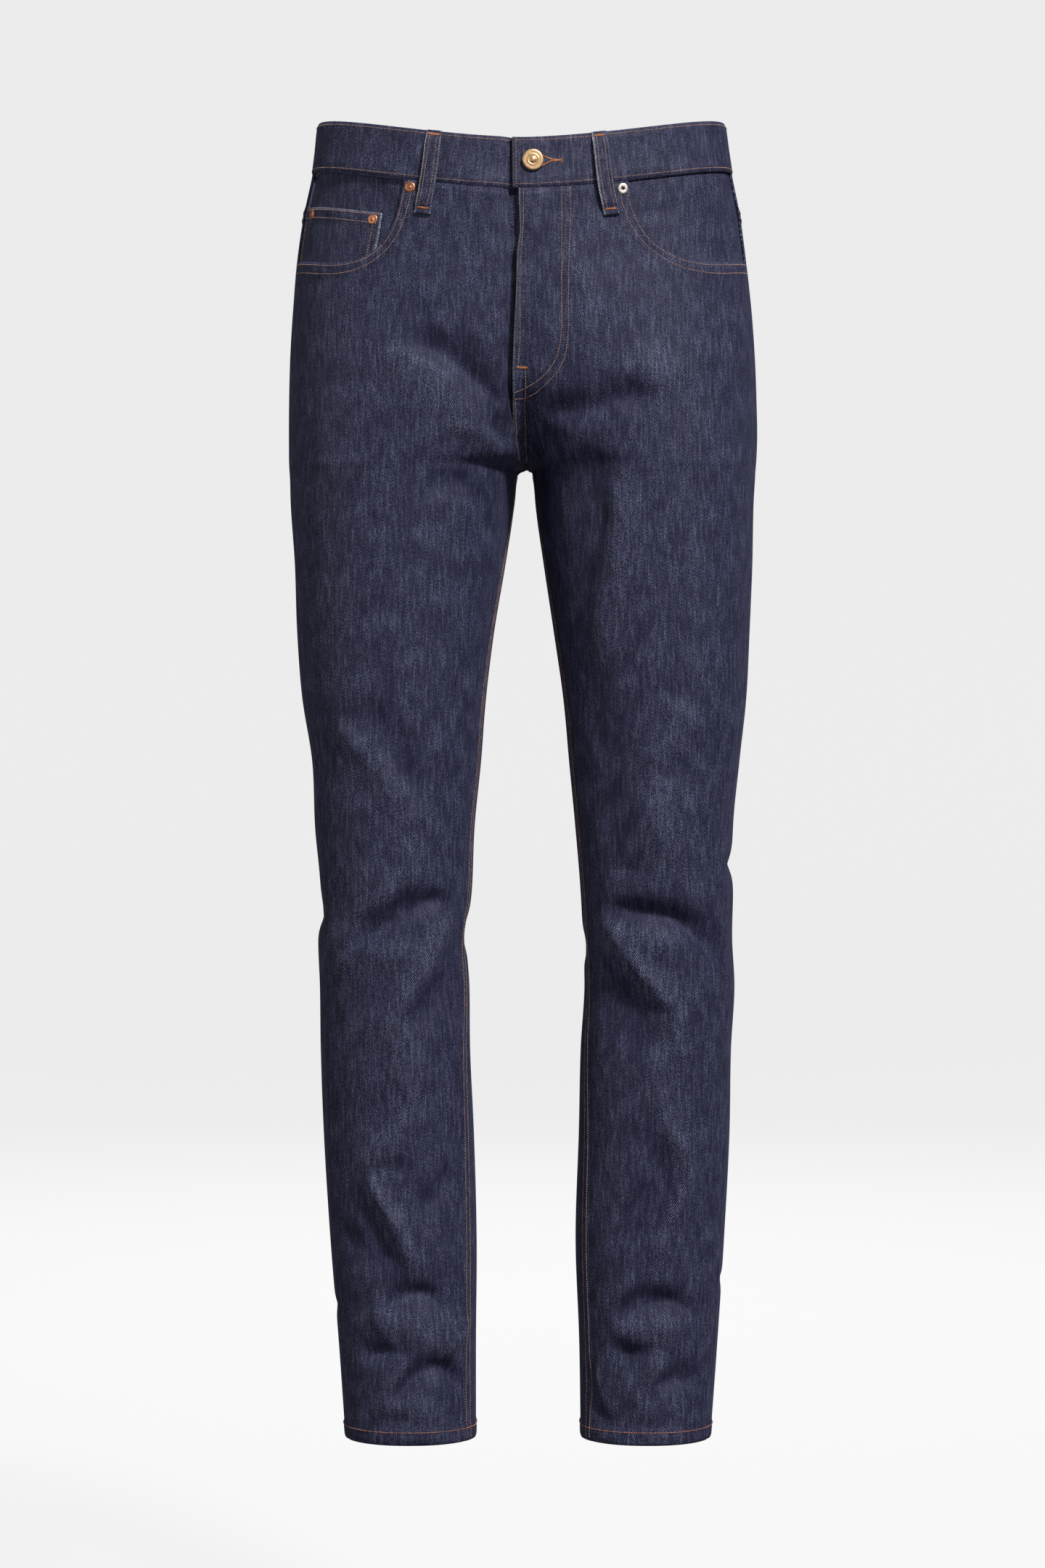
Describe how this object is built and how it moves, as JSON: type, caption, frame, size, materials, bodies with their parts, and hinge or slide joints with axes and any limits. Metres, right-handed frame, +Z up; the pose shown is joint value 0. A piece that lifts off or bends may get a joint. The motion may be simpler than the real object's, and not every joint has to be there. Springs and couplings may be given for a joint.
{
  "type": "slim fit jeans",
  "caption": "Hollow slim fit denim jeans in worn shape, open at the waist and hems, with a lapped fly, yokes, patch and coin pockets, belt loops, a shank button and rivets.",
  "frame": {"origin": "middle of the waistband's ring, where the waist holds the jeans, 3 mm above the middle of the waistband at the sides", "axes": "+Z up, the front faces -Y, +X is the wearer's left"},
  "size_m": [0.387, 0.244, 1.0872],
  "materials": {
    "denim": "matte indigo twill with slubs",
    "thread": "satin topstitching thread",
    "button_brass": "satin",
    "rivet_copper": "satin",
    "rivet_nickel": "satin"
  },
  "bodies": {
    "root": {"front_right": "denim", "front_left": "denim", "back_right": "denim", "back_left": "denim", "yoke_right": "denim", "yoke_left": "denim", "pocket_facing_right": "denim", "pocket_facing_left": "denim", "coin_pocket": "denim", "back_pocket_right": "denim", "back_pocket_left": "denim", "waistband": "denim", "belt_loop_front_right": "denim", "belt_loop_side_right": "denim", "belt_loop_back": "denim", "belt_loop_side_left": "denim", "belt_loop_front_left": "denim", "button": "button_brass", "rivet_mouth_right": "rivet_copper", "rivet_coin_side": "rivet_copper", "rivet_coin_inner": "rivet_copper", "rivet_mouth_left": "rivet_nickel"}
  },
  "joints": []
}
